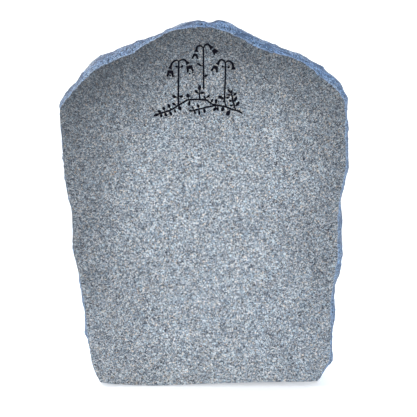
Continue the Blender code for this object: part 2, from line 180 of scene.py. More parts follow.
def wander(points: Array, spacing: float, seed: float) -> Array:
    """Gives each point a value from 0 to 1 that wanders smoothly through space.

    Formula: each corner of a cubic grid has its own number, and a point takes their mean, weighed
    by eased steps from corner to corner along each axis.

    Args:
        points: Places in space.
        spacing: The grid's spacing.
        seed: Which pattern it is.

    Returns:
        One value a point.
    """
    place = points / spacing
    home = np.floor(place)
    share = smooth(0.0, 1.0, place - home)
    value = np.zeros(len(points))
    for step in np.ndindex(2, 2, 2):
        weight = np.where(np.array(step) == 1, share, 1.0 - share).prod(axis=1)
        value += weight * hashed(home + step, 7, seed)
    return value


@dataclass(frozen=True)
class Ledges:
    """Steps across a struck edge, where a break ran back and then stopped short.

    Attributes:
        spacing: How far apart the steps lie from front to back.
        depth: How high they are.
        seed: Which pattern it is.
        bend: How far a step wanders, in spacings.
        bend_length: How far apart its bends lie, in spacings.
        patch_length: How far apart the patches with steps lie, in spacings.
        patch_edge: Between which values of the patches' wander the steps fade in.
    """

    spacing: float
    depth: float
    seed: float
    bend: float = 2.6
    bend_length: float = 3.0
    patch_length: float = 2.4
    patch_edge: Span = (0.35, 0.65)

    def sunk(self, points: Array) -> Array:
        """Gives how far each point is sunk.

        Formula: a saw wave of the place along Y, bent by a slow wander, and faded in and out along
        the edge by another.

        Args:
            points: Places in space.

        Returns:
            One depth a point.
        """
        bend = self.bend * wander(points, self.bend_length * self.spacing, self.seed)
        phase = points[:, 1] / self.spacing + bend
        patches = wander(points, self.patch_length * self.spacing, self.seed + 1.0)
        there = smooth(*self.patch_edge, patches)
        return self.depth * there * (phase - np.floor(phase) - 0.5)


def smooth(low: float, high: float, values: Array) -> Array:
    """Eases values from 0 at low to 1 at high, by three times the square less twice the cube."""
    share = np.clip((values - low) / (high - low), 0.0, 1.0)
    return share * share * (3.0 - 2.0 * share)


def unit(vectors: Array) -> Array:
    """Gives rows of length one."""
    return vectors / np.maximum(np.linalg.norm(vectors, axis=-1, keepdims=True), 1e-12)


def ahead(ring: Array) -> Array:
    """Gives the direction onwards at each point of a closed ring: from the point before to the next."""
    return unit(np.roll(ring, -1, axis=0) - np.roll(ring, 1, axis=0))


def through_points(points: Array, steps: int) -> Array:
    """Gives a smooth closed path through the points.

    Formula: Catmull-Rom spans, each a cubic in its parameter, of equal steps.

    Args:
        points: The rows that the path goes through.
        steps: How many steps each span has.

    Returns:
        The path's rows, in order.
    """
    t = (np.arange(steps) / steps)[None, :, None]
    p0, p1, p2, p3 = (np.roll(points, shift, axis=0)[:, None, :] for shift in (1, 0, -1, -2))
    bend = (2 * p0 - 5 * p1 + 4 * p2 - p3) * t ** 2
    twist = (3 * p1 - p0 - 3 * p2 + p3) * t ** 3
    return (0.5 * (2 * p1 + (p2 - p0) * t + bend + twist)).reshape(-1, points.shape[1])


def evenly_spaced(path: Array, count: int) -> Array:
    """Gives a closed path's rows at equal distances along its first two values.

    Args:
        path: The path's rows.
        count: How many rows to give.

    Returns:
        The new rows.
    """
    ring = np.vstack([path, path[:1]])
    lengths = np.hypot(*np.diff(ring[:, :2], axis=0).T)
    along = np.concatenate([[0.0], np.cumsum(lengths)])
    marks = np.linspace(0.0, along[-1], count, endpoint=False)
    return np.stack([np.interp(marks, along, column) for column in ring.T], axis=1)


@dataclass(frozen=True)
class Outline:
    """A set of straight edges on the face that bound a region, which may have several parts.

    Attributes:
        starts: Where each edge starts, across and up.
        ends: Where each edge ends.
    """

    starts: Array
    ends: Array

    @classmethod
    def closed(cls, ring: Array) -> "Outline":
        """Gives the outline that a closed ring of points bounds."""
        return cls(ring, np.roll(ring, -1, axis=0))

    def part(self, chosen: Array) -> "Outline":
        """Gives the outline's chosen edges alone."""
        return Outline(self.starts[chosen], self.ends[chosen])

    def inside(self, points: Array) -> Array:
        """Says which points the outline holds.

        Formula: a point is inside where an odd number of edges lies level with it on its right.

        Args:
            points: Places across and up.

        Returns:
            True or false for each point.
        """
        x, z = points[:, 0, None], points[:, 1, None]
        (x0, z0), (x1, z1) = self.starts.T, self.ends.T
        straddles = (z0 > z) != (z1 > z)
        rise = np.where(z1 == z0, 1.0, z1 - z0)
        crosses = straddles & (x < x0 + (z - z0) * (x1 - x0) / rise)
        return crosses.sum(axis=1) % 2 == 1

    def distance(self, points: Array) -> Array:
        """Gives each point's distance to the nearest edge.

        Formula: the distance to the foot of the point's perpendicular, kept within the edge's ends.

        Args:
            points: Places across and up.

        Returns:
            One distance a point.
        """
        edge = self.ends - self.starts
        length = np.maximum((edge ** 2).sum(axis=1), 1e-18)
        arm = points[:, None, :] - self.starts
        along = np.clip((arm * edge).sum(axis=2) / length, 0.0, 1.0)
        return np.sqrt(((arm - along[..., None] * edge) ** 2).sum(axis=2).min(axis=1))

    def depth(self, points: Array, reach: float = 0.01) -> Array:
        """Gives each point's distance in from the outline, negative outside.

        Formula: square tiles of twice the reach are taken one by one, each with the edges near it
        for the distance and the edges level with it for the side. No distance is past the reach.

        Args:
            points: Places across and up.
            reach: The greatest distance that is told.

        Returns:
            One distance a point.
        """
        least, most = np.minimum(self.starts, self.ends), np.maximum(self.starts, self.ends)
        corner = points.min(axis=0)
        tiles = np.floor((points - corner) / (2.0 * reach)).astype(np.int64)
        stride = 4096
        names, tile = np.unique(tiles[:, 0] * stride + tiles[:, 1], return_inverse=True)
        found = np.empty(len(points))
        for number, name in enumerate(names.tolist()):
            chosen = np.flatnonzero(tile == number)
            low = corner + 2.0 * reach * np.array(divmod(name, stride))
            high = low + 2.0 * reach
            near = ((least < high + reach) & (most > low - reach)).all(axis=1)
            level = (least[:, 1] <= high[1]) & (most[:, 1] >= low[1])
            away = self.part(near).distance(points[chosen]) if near.any() else reach
            side = np.where(self.part(level).inside(points[chosen]), 1.0, -1.0)
            found[chosen] = side * np.minimum(away, reach)
        return found


def staggered(low: Array, high: Array, step: float) -> Array:
    """Gives a staggered grid of places, rows half a step aside in turn.

    Args:
        low: The lowest corner, across and up.
        high: The highest corner.
        step: How far apart the places lie.

    Returns:
        The places, one a row.
    """
    rows = np.arange(low[1], high[1], step * math.sqrt(0.75))
    columns = np.arange(low[0], high[0], step)
    x = columns[None, :] + 0.5 * step * (np.arange(len(rows)) % 2)[:, None]
    z = np.broadcast_to(rows[:, None], x.shape)
    return np.stack([x.ravel(), z.ravel()], axis=1)


def sheet(ring: Array, inner: Array, edges: Array) -> tuple[Array, Array]:
    """Fills a closed ring, walked clockwise, with triangles through all inner places.

    Formula: the Delaunay triangulation that holds the ring and the edges, less all outside the
    ring. The ring is turned round for it and turned back in the result.

    Args:
        ring: The closed ring's places, which come out as the first points.
        inner: Further places inside the ring.
        edges: Pairs of inner places, counted from 0, that an edge must join.

    Returns:
        The flat points, and the triangles, which turn against the clock.

    Raises:
        ValueError: If the ring's points don't come out first and in order.
    """
    count = len(ring)
    places = [Vector(place) for place in np.vstack([ring[::-1], inner]).astype(np.float32).tolist()]
    around = [list(range(count))]
    filled = delaunay_2d_cdt(places, (edges + count).tolist(), around, 1, WELD)
    flat = np.array(filled[0], dtype=np.float64)
    flat[:count] = flat[:count][::-1].copy()
    if not np.allclose(flat[:count], ring, atol=SAME_PLACE):
        raise ValueError("the ring's points changed their order")
    triangles = np.array(filled[2], dtype=np.int64)
    return flat, np.where(triangles < count, count - 1 - triangles, triangles)


@dataclass
class Carving:
    """The sprig's grooves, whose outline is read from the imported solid's dressed face.

    Attributes:
        face_y: The face's place along Y.
        arris: The face's own outline.
        arris_gap: How far in from the arris an edge must lie to be a groove's.
        depth: How deep the grooves are.
        wall: How far in from the rim the wall reaches the floor.
        waver: How much the floor wavers, as a share of the depth.
        waves: The floor's waves across and up, in radians a metre.
        spill: How far the paint runs over the rim.
        wear_reach: How far from the paint's edge its wear reaches.
        rim_step: How far apart points lie along the rim.
        corner: The turn past which a corner stays sharp.
        inner_rings: How far inside the rim its rings of points lie.
        outer_rings: How far outside the rim they lie.
        ring_share: The share of that distance that a ring's point keeps from all of the rim.
        floor_step: How far apart points lie on a wide groove's floor.
        floor_gap: How far in from the innermost ring they start.
        margin: How far past the grooves' box the distance to the rim is worked out.
    """

    face_y: float
    arris: Outline
    arris_gap: float = 0.004
    depth: float = 0.0024
    wall: float = 0.0009
    waver: float = 0.12
    waves: Span = (2100.0, 1700.0)
    spill: float = 0.0003
    wear_reach: float = 0.001
    rim_step: float = 0.0008
    corner: float = math.radians(55.0)
    inner_rings: tuple[float, ...] = (0.00012, 0.00038, 0.00085)
    outer_rings: tuple[float, ...] = (0.0003, 0.0018)
    ring_share: float = 0.93
    floor_step: float = 0.0014
    floor_gap: float = 0.0005
    margin: float = 0.006

    def __post_init__(self) -> None:
        """Reads the outline of the grooves, and sets samples along it."""
        starts, ends = self.rim_of_solid()
        self.samples, self.inward, self.following = self.smooth_rim(starts, ends)
        self.outline = Outline(self.samples, self.samples[self.following])

    def rim_of_solid(self) -> tuple[Array, Array]:
        """Reads where the solid's dressed face ends at the grooves.

        Formula: the edges that only one of the face's triangles has, less those near the arris.

        Returns:
            The starts and the ends of the edges, across and up, with the grooves on their right.
        """
        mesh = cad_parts[NODE].data
        mesh.calc_loop_triangles()
        points = np.empty(3 * len(mesh.vertices), np.float32)
        mesh.vertices.foreach_get("co", points)
        corners = np.empty(3 * len(mesh.loop_triangles), np.int32)
        mesh.loop_triangles.foreach_get("vertices", corners)
        joined, index = np.unique(points.reshape(-1, 3).round(6), axis=0, return_inverse=True)
        corners = index.reshape(-1)[corners].reshape(-1, 3)
        on_face = (np.abs(joined[corners, 1] - self.face_y) < SAME_PLACE).all(axis=1)
        a = corners[on_face].ravel()
        b = np.roll(corners[on_face], -1, axis=1).ravel()
        lone = ~np.isin(a * len(joined) + b, b * len(joined) + a)
        starts, ends = joined[a[lone]][:, [0, 2]], joined[b[lone]][:, [0, 2]]
        within = self.arris.depth(0.5 * (starts + ends)) > self.arris_gap
        return starts[within].astype(float), ends[within].astype(float)

    def smooth_rim(self, starts: Array, ends: Array) -> tuple[Array, Array, Array]:
        """Rounds the rim's facets and keeps its real corners.

        Formula: on each edge a Hermite cubic, whose tangent at an end is the mean of the two edges'
        directions there, or the edge's own direction where they turn more than the corner angle.

        Args:
            starts: Where each edge starts.
            ends: Where each edge ends.

        Returns:
            The places along the rim, the direction into the groove at each, and which place follows.
        """
        keys, index = np.unique(np.vstack([starts, ends]), axis=0, return_inverse=True)
        first, last = index.reshape(2, -1)
        leaving = np.zeros(len(keys), np.int64)
        arriving = np.zeros(len(keys), np.int64)
        leaving[first] = np.arange(len(first))
        arriving[last] = np.arange(len(last))
        direction = unit(ends - starts)
        before, after = direction[arriving[first]], direction[leaving[last]]
        alone = np.bincount(first, minlength=len(keys)) == 1
        soft_start = ((direction * before).sum(axis=1) > math.cos(self.corner)) & alone[first]
        soft_end = ((direction * after).sum(axis=1) > math.cos(self.corner)) & alone[last]
        go = np.where(soft_start[:, None], unit(direction + before), direction)
        come = np.where(soft_end[:, None], unit(direction + after), direction)
        length = np.linalg.norm(ends - starts, axis=1)
        counts = np.maximum(np.ceil(length / self.rim_step).astype(int), 1)
        edge = np.repeat(np.arange(len(starts)), counts)
        heads = np.cumsum(counts) - counts
        t = ((np.arange(len(edge)) - heads[edge]) / counts[edge])[:, None]
        reach = length[edge, None]
        p0, p1, m0, m1 = starts[edge], ends[edge], go[edge] * reach, come[edge] * reach
        places = (2 * t ** 3 - 3 * t ** 2 + 1) * p0 + (t ** 3 - 2 * t ** 2 + t) * m0
        places += (3 * t ** 2 - 2 * t ** 3) * p1 + (t ** 3 - t ** 2) * m1
        slope = 6 * (t ** 2 - t) * (p0 - p1) + (3 * t ** 2 - 4 * t + 1) * m0 + (3 * t ** 2 - 2 * t) * m1
        inward = unit(slope)[:, ::-1] * (1.0, -1.0)
        following = np.arange(len(edge)) + 1
        tails = heads + counts - 1
        following[tails] = heads[leaving[last]]
        return places, inward, following

    def near(self, points: Array) -> Array:
        """Says which points lie within the margin round the grooves' box."""
        low, high = self.samples.min(axis=0) - self.margin, self.samples.max(axis=0) + self.margin
        return ((points > low) & (points < high)).all(axis=1)

    def depths(self, points: Array) -> Array:
        """Gives each point's distance in from the rim.

        Args:
            points: Places across and up.

        Returns:
            One distance a point, negative outside the grooves, and -1 away from the sprig.
        """
        found = np.full(len(points), -1.0)
        close = self.near(points)
        found[close] = self.outline.depth(points[close])
        return found

    def places(self) -> tuple[Array, Array]:
        """Gives the places that the grooves need, the rim first, and the rim's edges.

        Formula: the rim, rings at set distances inside and outside it, and a fine staggered grid
        where a groove is wide. A ring's point stays only where no other part of the rim is nearer.

        Returns:
            The places across and up, and pairs of places that an edge must join.
        """
        middles = 0.5 * (self.samples + self.samples[self.following])
        groups = [self.samples]
        for inset in self.inner_rings + tuple(-outer for outer in self.outer_rings):
            ring = middles + self.inward * inset
            deep = self.outline.depth(ring)
            groups.append(ring[np.sign(inset) * deep > self.ring_share * abs(inset)])
        fine = staggered(self.samples.min(axis=0), self.samples.max(axis=0), self.floor_step)
        groups.append(fine[self.outline.depth(fine) > self.inner_rings[-1] + self.floor_gap])
        edges = np.stack([np.arange(len(self.samples)), self.following], axis=1)
        return np.vstack(groups), edges

    def sunk(self, deep: Array, points: Array) -> Array:
        """Gives how far the face is sunk at each distance in from the rim.

        Formula: a quarter ellipse from the rim to the foot of the wall, then a floor that wavers.

        Args:
            deep: Each point's distance in from the rim.
            points: The points, across and up.

        Returns:
            One depth a point.
        """
        share = np.clip(deep / self.wall, 0.0, 1.0)
        across, up = (points * self.waves).T
        waver = self.waver * np.sin(across) * np.sin(up + 1.0)
        return self.depth * np.sqrt(1.0 - (1.0 - share) ** 2) * (1.0 + waver * share)

    def wear(self, deep: Array) -> Array:
        """Gives how far in from the paint's edge points lie, from -1 to 1 over the wear's reach."""
        return np.clip((deep + self.spill) / self.wear_reach, -1.0, 1.0)


@dataclass(frozen=True)
class Chips:
    """Small dishes chipped out of the dressed face's arris.

    Attributes:
        count: How many chips are tried.
        radii: The least and the greatest radius.
        bites: The least and the greatest depth.
        foot_gap: How many of its radii a chip stays above the ground.
        seed: Which chips they are.
    """

    count: int = 130
    radii: Span = (0.004, 0.013)
    bites: Span = (0.0008, 0.0026)
    foot_gap: float = 2.5
    seed: int = 5

    def struck(self, points: Array, ring: Array) -> Array:
        """Takes the chips out of the stone.

        Formula: balls stand off the arris so that each reaches a little way into the stone, and
        every point inside a ball moves out to its surface.

        Args:
            points: The shell's points.
            ring: The points along the arris.

        Returns:
            The points with the chips in them.
        """
        pick = np.random.default_rng(self.seed)
        onwards = ahead(ring)
        outward = np.stack([-onwards[:, 2], np.full(len(ring), -1.0), onwards[:, 0]], axis=1) / math.sqrt(2.0)
        made = points.copy()
        for at in pick.integers(0, len(ring), self.count):
            radius = pick.uniform(*self.radii)
            bite = pick.uniform(*self.bites)
            if ring[at, 2] < self.foot_gap * radius:
                continue
            centre = ring[at] + outward[at] * (radius - bite)
            arm = made - centre
            far = np.linalg.norm(arm, axis=1)
            inside = far < radius
            made[inside] = centre + arm[inside] * (radius / far[inside])[:, None]
        return made


@dataclass
class Slab:
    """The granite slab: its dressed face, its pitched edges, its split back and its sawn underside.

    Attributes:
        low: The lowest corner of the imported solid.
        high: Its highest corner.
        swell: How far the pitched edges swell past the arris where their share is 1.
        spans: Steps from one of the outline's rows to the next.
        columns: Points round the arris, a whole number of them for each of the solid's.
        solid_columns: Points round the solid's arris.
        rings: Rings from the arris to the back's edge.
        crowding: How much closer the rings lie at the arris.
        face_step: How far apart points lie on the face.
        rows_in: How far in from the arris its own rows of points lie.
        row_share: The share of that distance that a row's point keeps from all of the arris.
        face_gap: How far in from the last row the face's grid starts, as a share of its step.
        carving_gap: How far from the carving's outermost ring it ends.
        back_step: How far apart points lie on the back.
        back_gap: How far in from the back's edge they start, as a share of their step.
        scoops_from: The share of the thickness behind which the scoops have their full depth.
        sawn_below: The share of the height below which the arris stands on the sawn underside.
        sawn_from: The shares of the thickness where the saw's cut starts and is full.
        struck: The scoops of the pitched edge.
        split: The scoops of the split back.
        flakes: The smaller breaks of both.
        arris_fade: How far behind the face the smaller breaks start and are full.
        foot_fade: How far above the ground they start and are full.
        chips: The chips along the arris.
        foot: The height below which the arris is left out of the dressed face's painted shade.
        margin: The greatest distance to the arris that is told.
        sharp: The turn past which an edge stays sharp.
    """

    low: Array
    high: Array
    swell: float = 0.020
    spans: int = 8
    columns: int = 800
    solid_columns: int = 160
    rings: int = 46
    crowding: float = 1.2
    face_step: float = 0.0052
    rows_in: tuple[float, ...] = (0.0009, 0.0021, 0.0036)
    row_share: float = 0.9
    face_gap: float = 0.45
    carving_gap: float = 0.0015
    back_step: float = 0.0066
    back_gap: float = 0.6
    scoops_from: float = 0.15
    sawn_below: float = 0.022
    sawn_from: Span = (0.15, 0.27)
    struck: Scoops = Scoops(0.062, 0.0095, 0.25)
    split: Scoops = Scoops(0.160, 0.014, 0.22)
    flakes: tuple[Scoops | Ledges, ...] = (
        Scoops(0.030, 0.0034, 0.22, seed=4.0),
        Scoops(0.0140, 0.0017, 0.25, seed=23.0),
        Scoops(0.0070, 0.0008, 0.25, seed=37.0),
        Ledges(0.026, 0.0020, 51.0),
    )
    arris_fade: Span = (0.0005, 0.008)
    foot_fade: Span = (0.0, 0.012)
    chips: Chips = Chips()
    foot: float = 0.03
    margin: float = 0.18
    sharp: float = math.radians(34.0)

    def __post_init__(self) -> None:
        """Works out the slab's sizes, its pitched edge and its carving."""
        self.size = self.high - self.low
        self.face_y = float(self.low[1])
        self.edge = self.pitched_edge()
        self.carving = Carving(self.face_y, Outline.closed(self.edge[0][:, [0, 2]]))

    def arris(self) -> tuple[Array, Array, Array]:
        """Gives the arris's places, the outward direction at each and the swell there.

        Formula: a smooth closed path through the outline's rows, at equal distances.

        Returns:
            The places across and up, the directions, and the swells.
        """
        rows = np.array(ARRIS) * (self.size[0], self.size[2], self.swell)
        loop = evenly_spaced(through_points(rows, self.spans), self.columns)
        place, swell = loop[:, :2], np.maximum(loop[:, 2], 0.0)
        return place, ahead(place)[:, ::-1] * (-1.0, 1.0), swell

    def split_y(self, across: Array, up: Array) -> Array:
        """Gives how far back the split surface lies: the back plane less its wide, cut-off scoops."""
        plane = np.stack([across, np.full(len(across), self.high[1]), up], axis=1)
        return self.high[1] - np.maximum(self.split.sunk(plane), 0.0)

    def pitched_edge(self) -> Array:
        """Gives the pitched edge as rings by columns by three.

        Formula: the arris plus, along its outward direction, the swell times the swell curve, less
        the depth of the scoop there. Nothing is below the ground, and the foot is sawn flat.

        Returns:
            The rings from the arris to the back's edge.
        """
        place, outward, swell = self.arris()
        share = np.linspace(0.0, 1.0, self.rings) ** self.crowding
        curve = np.interp(share, *np.array(SWELL_CURVE).T)
        plain = place + outward * (swell * curve[:, None])[..., None]
        y = np.broadcast_to((share * self.size[1] + self.low[1])[:, None], plain.shape[:2])
        points = np.stack([plain[..., 0], y, plain[..., 1]], axis=2)
        sunk = self.struck.sunk(points.reshape(-1, 3)).reshape(y.shape)
        sunk *= np.minimum(1.0, share / self.scoops_from)[:, None]
        points[..., 0] -= outward[:, 0] * sunk
        points[..., 2] = np.maximum(points[..., 2] - outward[:, 1] * sunk, 0.0)
        stride = self.columns // self.solid_columns
        sawn = (place[::stride, 1] < self.sawn_below * self.size[2]).astype(float)
        marks = np.arange(self.solid_columns + 1) * stride
        along = np.interp(np.arange(self.columns), marks, np.append(sawn, sawn[0]))
        back = np.interp(share, self.sawn_from, (0.0, 1.0))
        points[..., 2] *= 1.0 - back[:, None] * along
        return self.fitted(points, share)

    def fitted(self, points: Array, share: Array) -> Array:
        """Stretches the edge a little to the solid's box, and ends its rings at the split back.

        Args:
            points: The edge's rings.
            share: The share of the thickness at which each ring lies.

        Returns:
            The rings, rounded as a mesh holds them.
        """
        least, most = points.min(axis=(0, 1)), points.max(axis=(0, 1))
        points[..., 0] = (points[..., 0] - least[0]) / (most[0] - least[0]) * self.size[0] + self.low[0]
        points[..., 2] *= self.high[2] / most[2]
        reach = self.split_y(points[-1, :, 0], points[-1, :, 2]) - self.low[1]
        points[..., 1] = np.outer(share, reach) + self.low[1]
        return points.astype(np.float32).astype(float)

    def face(self, ring: Array) -> tuple[Array, Array, Array]:
        """Gives the dressed face with the sunk carving.

        Args:
            ring: The arris, across and up.

        Returns:
            The points, the arris first, the triangles, and how far in from the carving's rim each
            point lies.
        """
        inward = ahead(ring)[:, ::-1] * (1.0, -1.0)
        rim = Outline.closed(ring)
        rows = [ring + inward * inset for inset in self.rows_in]
        rows = [row[rim.depth(row) > self.row_share * inset] for row, inset in zip(rows, self.rows_in)]
        carved, edges = self.carving.places()
        grid = staggered(ring.min(axis=0), ring.max(axis=0), self.face_step)
        grid = grid[rim.depth(grid) > self.rows_in[-1] + self.face_gap * self.face_step]
        grid = grid[self.carving.depths(grid) < -(self.carving.outer_rings[-1] + self.carving_gap)]
        flat, triangles = sheet(ring, np.vstack([carved, grid] + rows), edges)
        deep = self.carving.depths(flat)
        y = self.face_y + self.carving.sunk(deep, flat)
        return np.stack([flat[:, 0], y, flat[:, 1]], axis=1), triangles, deep

    def insets(self, points: Array) -> Array:
        """Gives each point's distance to the arris, its foot aside, up to the margin's width, for the dressed
        face's painted shade.

        Args:
            points: Places in space.

        Returns:
            One distance a point, seen from the front.
        """
        rim = Outline.closed(self.edge[0][::self.columns // self.solid_columns][:, [0, 2]])
        shaded_rim = rim.part((rim.starts[:, 1] > self.foot) & (rim.ends[:, 1] > self.foot))
        blocks = np.array_split(points[:, [0, 2]], 1 + len(points) // BLOCK_ROWS)
        return np.minimum(np.concatenate([shaded_rim.distance(block) for block in blocks]), self.margin)

    def back(self, ring: Array) -> tuple[Array, Array]:
        """Gives the split back.

        Args:
            ring: The back's own edge, across and up.

        Returns:
            The points, the edge first, and the triangles.
        """
        rim = Outline.closed(ring)
        grid = staggered(ring.min(axis=0), ring.max(axis=0), self.back_step)
        grid = grid[rim.depth(grid) > self.back_gap * self.back_step]
        flat, triangles = sheet(ring, grid, np.empty((0, 2), np.int64))
        y = self.split_y(flat[:, 0], flat[:, 1])
        return np.stack([flat[:, 0], y, flat[:, 1]], axis=1), triangles[:, ::-1]

    def shell(self) -> tuple[Array, Array, Array, Array]:
        """Joins the face, the edge and the back into one closed shell.

        Returns:
            The points, the triangles, each triangle's finish, and each point's distance in from the
            carving's rim.
        """
        edge = self.edge
        face, face_triangles, deep = self.face(edge[0][:, [0, 2]])
        back, back_triangles = self.back(edge[-1][:, [0, 2]])
        middle = edge[1:-1].reshape(-1, 3)
        points = np.vstack([face, middle, back])
        back_first = len(face) + len(middle)
        index = len(face) + np.arange(len(middle)).reshape(self.rings - 2, self.columns)
        columns = np.arange(self.columns)
        index = np.vstack([columns, index, back_first + columns])
        near, far = index[:-1], index[1:]
        near_next, far_next = np.roll(near, -1, axis=1), np.roll(far, -1, axis=1)
        one = np.stack([near, near_next, far_next], axis=2).reshape(-1, 3)
        two = np.stack([near, far_next, far], axis=2).reshape(-1, 3)
        triangles = np.vstack([face_triangles, one, two, back_triangles + back_first])
        finish = np.full(len(triangles), Finish.PITCHED.value, np.int32)
        finish[:len(face_triangles)] = Finish.DRESSED.value
        heart = face[face_triangles].mean(axis=1)[:, [0, 2]]
        painted = self.carving.depths(heart) > -self.carving.spill
        finish[:len(face_triangles)][painted] = Finish.PAINTED.value
        depths = np.concatenate([deep, np.full(len(points) - len(face), -1.0)])
        return points, triangles, finish, depths

    def broken(self, points: Array, triangles: Array) -> Array:
        """Breaks the pitched edge and the back into smaller flakes.

        Formula: each point moves in along its normal by the flakes' depths, eased to nothing at the
        arris and at the sawn underside.

        Args:
            points: The shell's points.
            triangles: Its triangles.

        Returns:
            The broken points.
        """
        corner = points[triangles]
        facing = np.cross(corner[:, 1] - corner[:, 0], corner[:, 2] - corner[:, 0])
        normal = np.stack([sum(np.bincount(triangles[:, k], facing[:, axis], len(points)) for k in range(3))
                           for axis in range(3)], axis=1)
        fade = smooth(*self.arris_fade, points[:, 1] - self.face_y) * smooth(*self.foot_fade, points[:, 2])
        moved = fade > 0.0
        sunk = sum(flake.sunk(points[moved]) for flake in self.flakes)
        made = points.copy()
        made[moved] -= unit(normal[moved]) * (sunk * fade[moved])[:, None]
        return made

    def build(self) -> bpy.types.Object:
        """Makes the slab's mesh and its object.

        Returns:
            The object, linked to the scene, with its finishes' places set on its faces.
        """
        points, triangles, finish, depths = self.shell()
        points = self.broken(points, triangles)
        points = self.chips.struck(points, points[:self.columns])
        mesh = bpy.data.meshes.new("granite_headstone")
        mesh.vertices.add(len(points))
        mesh.vertices.foreach_set("co", points.astype(np.float32).ravel())
        mesh.loops.add(triangles.size)
        mesh.loops.foreach_set("vertex_index", triangles.astype(np.int32).ravel())
        mesh.polygons.add(len(triangles))
        mesh.polygons.foreach_set("loop_start", np.arange(0, triangles.size, 3, dtype=np.int32))
        mesh.polygons.foreach_set("material_index", finish)
        mesh.update(calc_edges=True)
        mesh.shade_smooth()
        mesh.set_sharp_from_angle(angle=self.sharp)
        for name, values in (("groove", self.carving.wear(depths)), ("inset", self.insets(points))):
            made = mesh.attributes.new(name, "FLOAT", "POINT")
            made.data.foreach_set("value", values.astype(np.float32))
        made = bpy.data.objects.new("granite_headstone", mesh)
        bpy.context.scene.collection.objects.link(made)
        return made

    def dress(self, made: bpy.types.Object, minerals: "Minerals") -> None:
        """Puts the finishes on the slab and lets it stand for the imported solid.

        Args:
            made: The slab's object.
            minerals: The granite's crystals.
        """
        crystals = minerals.group()
        finishes = {
            Finish.DRESSED: DressedStone(top=float(self.high[2])),
            Finish.PITCHED: PitchedStone(face_y=self.face_y),
            Finish.PAINTED: BlackPaint(),
        }
        for finish in Finish:
            made.data.materials.append(finishes[finish].material(crystals))
        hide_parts(NODE)
        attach(made, "root")


class Wiring:
    """Adds nodes to one node tree and joins them."""

    def __init__(self, tree: bpy.types.NodeTree) -> None:
        """Keeps the tree."""
        self.tree = tree

    def node(self, kind: str, inputs: dict | None = None, **settings: object) -> bpy.types.Node:
        """Adds a node.

        Args:
            kind: The node's type.
            inputs: A value, or a socket to read, for each named or numbered input.
            settings: The node's own properties.

        Returns:
            The node.
        """
        made = self.tree.nodes.new(kind)
        for name, value in settings.items():
            setattr(made, name, value)
        for name, value in (inputs or {}).items():
            if isinstance(value, bpy.types.NodeSocket):
                self.tree.links.new(value, made.inputs[name])
            else:
                made.inputs[name].default_value = value
        return made

    def math(self, operation: str, a: Socket | float, b: Socket | float = 0.0, clamp: bool = False) -> Socket:
        """Adds a sum on one or two values and returns its result."""
        return self.node("ShaderNodeMath", {0: a, 1: b}, operation=operation, use_clamp=clamp).outputs[0]

    def plus(self, a: Socket | float, b: Socket | float) -> Socket:
        """Adds one value to another."""
        return self.math("ADD", a, b)

    def less(self, a: Socket | float, b: Socket | float) -> Socket:
        """Takes the second value from the first."""
        return self.math("SUBTRACT", a, b)

    def times(self, a: Socket | float, b: Socket | float) -> Socket:
        """Multiplies one value by another."""
        return self.math("MULTIPLY", a, b)

    def vector(self, operation: str, a: Socket, b: object) -> Socket:
        """Adds a sum on a vector and a second vector or a scale, and returns its result."""
        second = "Scale" if operation == "SCALE" else 1
        return self.node("ShaderNodeVectorMath", {0: a, second: b}, operation=operation).outputs[0]

    def mix(self, factor: Socket | float, a: object, b: object, blend: str = "MIX") -> Socket:
        """Adds a mix of two colours.

        Args:
            factor: How much of the second colour there is.
            a: The first colour, or a socket to read.
            b: The second one.
            blend: How they are mixed.

        Returns:
            The mixed colour.
        """
        a, b = ((*colour, 1.0) if isinstance(colour, tuple) else colour for colour in (a, b))
        made = self.node("ShaderNodeMix", {"Factor": factor, 6: a, 7: b}, data_type="RGBA", blend_type=blend)
        return made.outputs[2]

    def ease(self, value: Socket, low: float, high: float, out_low: float = 0.0,
             out_high: float = 1.0) -> Socket:
        """Adds an eased step from one value to another and returns its result."""
        inputs = {"Value": value, 1: low, 2: high, 3: out_low, 4: out_high}
        return self.node("ShaderNodeMapRange", inputs, interpolation_type="SMOOTHSTEP").outputs[0]

    def ramp(self, value: Socket, stops: tuple) -> Socket:
        """Adds a colour ramp.

        Args:
            value: The place along the ramp.
            stops: Each colour's place and the colour.

        Returns:
            The ramp's colour.
        """
        made = self.node("ShaderNodeValToRGB", {"Fac": value})
        elements = made.color_ramp.elements
        while len(elements) < len(stops):
            elements.new(0.5)
        for element, (place, colour) in zip(elements, stops):
            element.position = place
            element.color = (*colour, 1.0)
        return made.outputs["Color"]

    def place(self) -> Socket:
        """Adds the object's own coordinates."""
        return self.node("ShaderNodeTexCoord").outputs["Object"]

    def attribute(self, name: str) -> Socket:
        """Adds a value that the mesh holds at its points."""
        return self.node("ShaderNodeAttribute", attribute_name=name).outputs["Fac"]


